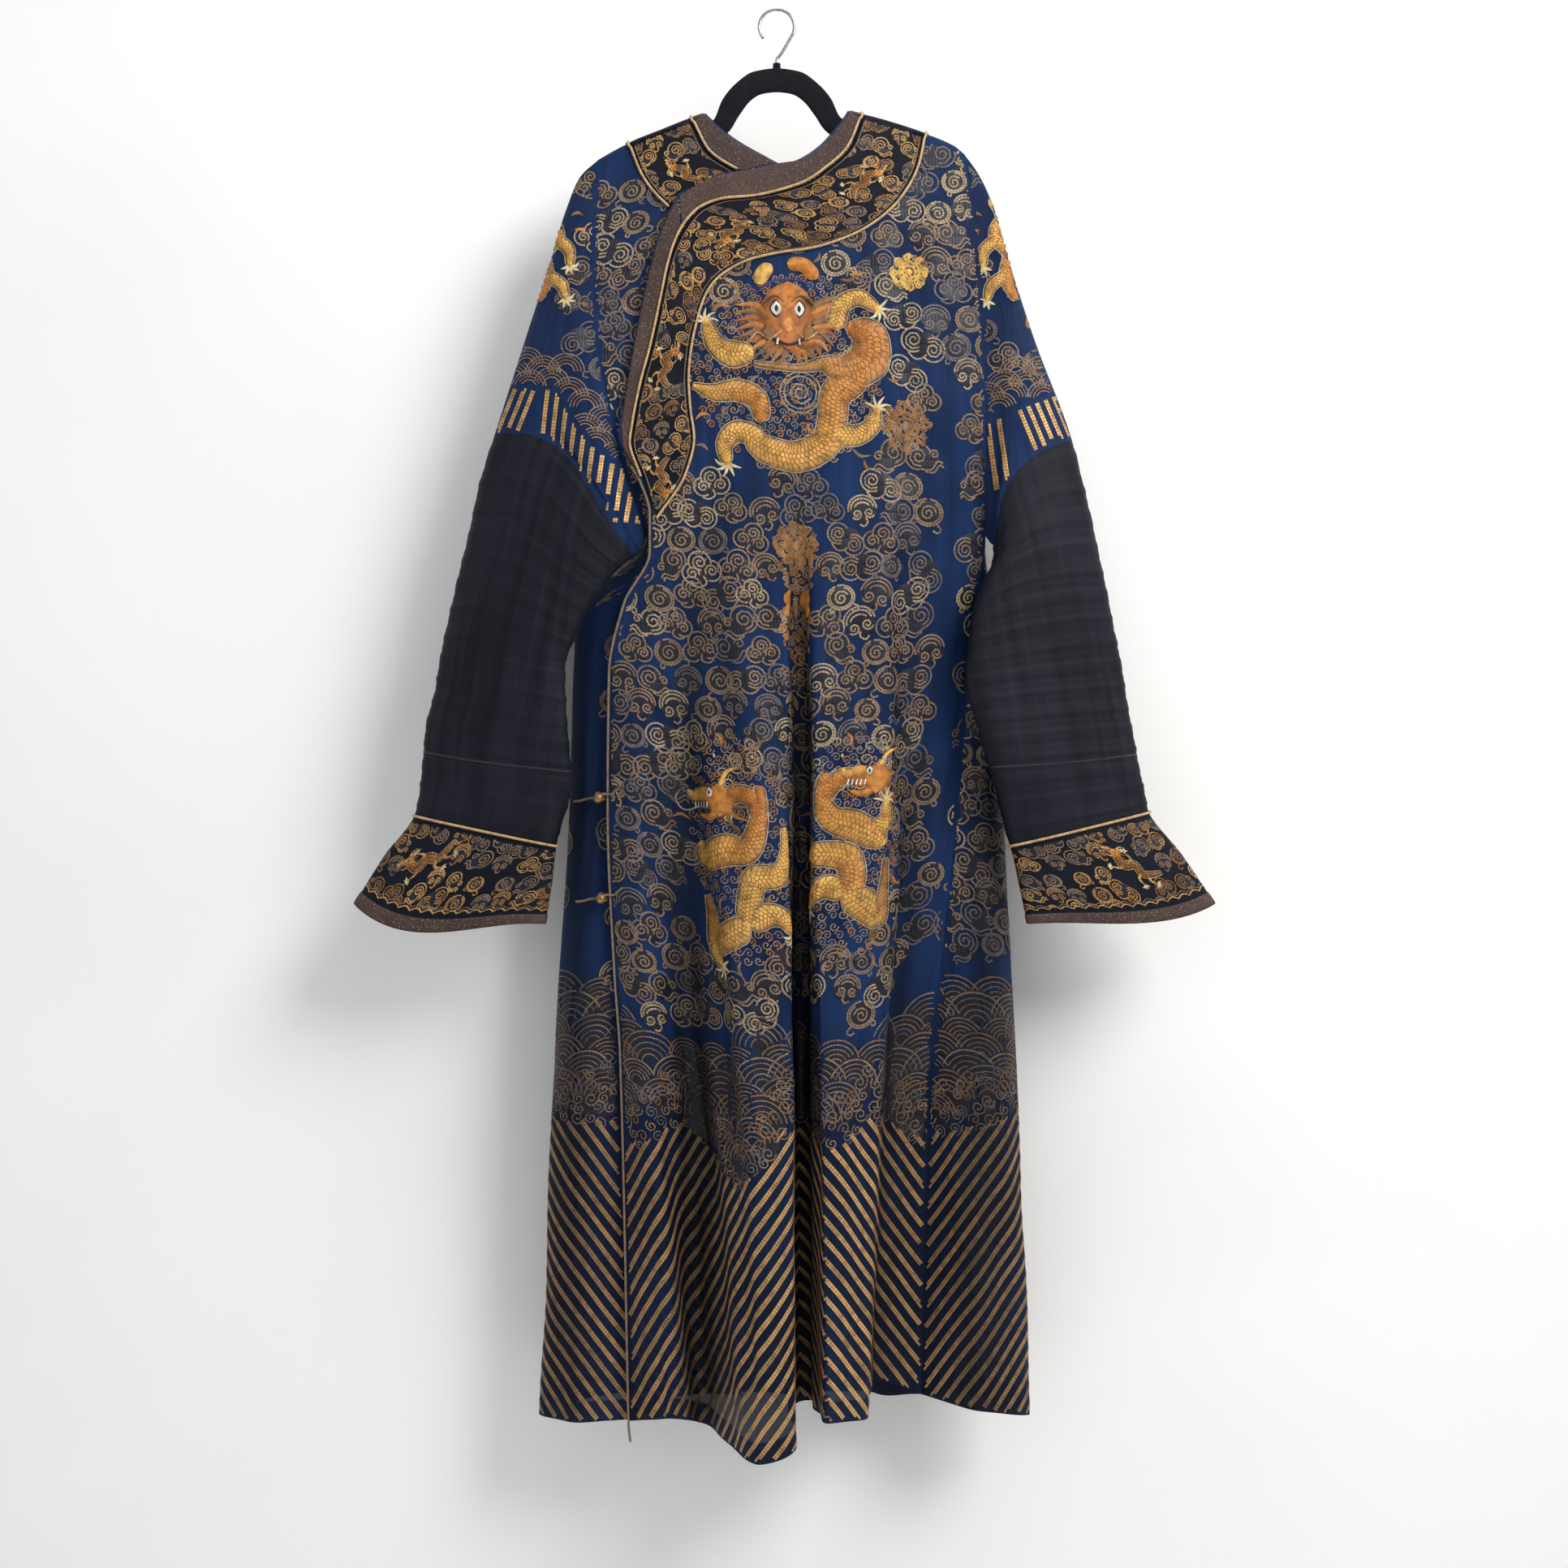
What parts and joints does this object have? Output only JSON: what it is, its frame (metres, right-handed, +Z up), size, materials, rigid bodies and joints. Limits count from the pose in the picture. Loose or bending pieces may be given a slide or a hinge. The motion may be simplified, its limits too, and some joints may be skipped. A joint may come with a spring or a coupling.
{
  "type": "chinese dragon robe on a coat hanger",
  "caption": "Long wide-hemmed silk robe with horse-hoof cuffs, side-closing overlap, yoke band and ball buttons, hanging in soft folds on a flat velvet coat hanger.",
  "frame": {"origin": "inside top of the hanger's hook, where a rail carries it", "axes": "+Z up, the robe's front faces -Y, +X to the wearer's left"},
  "size_m": [0.9352, 0.1819, 1.5486],
  "materials": {
    "silk_blue": "sheer blue silk gauze, embroidered all over",
    "silk_dark": "dark ribbed silk",
    "band_black": "black silk with gold embroidery",
    "brocade_brown": "brown figured brocade",
    "gold_cord": "twisted gold cord",
    "brass": "polished ball buttons",
    "velvet_black": "black flocked hanger",
    "chrome": "polished wire hook"
  },
  "bodies": {
    "root": {"hanger": "velvet_black", "hanger_ferrule": "velvet_black", "hanger_hook": "chrome", "overlap_front": "silk_blue", "left_front": "silk_blue", "left_back": "silk_blue", "right_back": "silk_blue", "underlap_front": "silk_blue", "collar_band": "brocade_brown", "collar_band_underlap": "brocade_brown", "collar_band_back": "brocade_brown", "yoke_band": "band_black", "yoke_band_underlap": "band_black", "yoke_band_back": "band_black", "overlap_edge_strip": "brocade_brown", "overlap_side_cord": "brocade_brown", "collar_piping": "gold_cord", "collar_piping_back": "gold_cord", "collar_piping_underlap": "gold_cord", "yoke_piping": "gold_cord", "yoke_piping_back": "gold_cord", "yoke_piping_underlap": "gold_cord", "right_upper_sleeve": "silk_blue", "right_lower_sleeve": "silk_dark", "right_cuff": "band_black", "right_cuff_band": "brocade_brown", "right_cuff_piping": "gold_cord", "left_upper_sleeve": "silk_blue", "left_lower_sleeve": "silk_dark", "left_cuff": "band_black", "left_cuff_band": "brocade_brown", "left_cuff_piping": "gold_cord", "button_1": "brass", "button_cord_1": "brocade_brown", "button_loop_1": "brocade_brown", "button_2": "brass", "button_cord_2": "brocade_brown", "button_loop_2": "brocade_brown"}
  },
  "joints": []
}
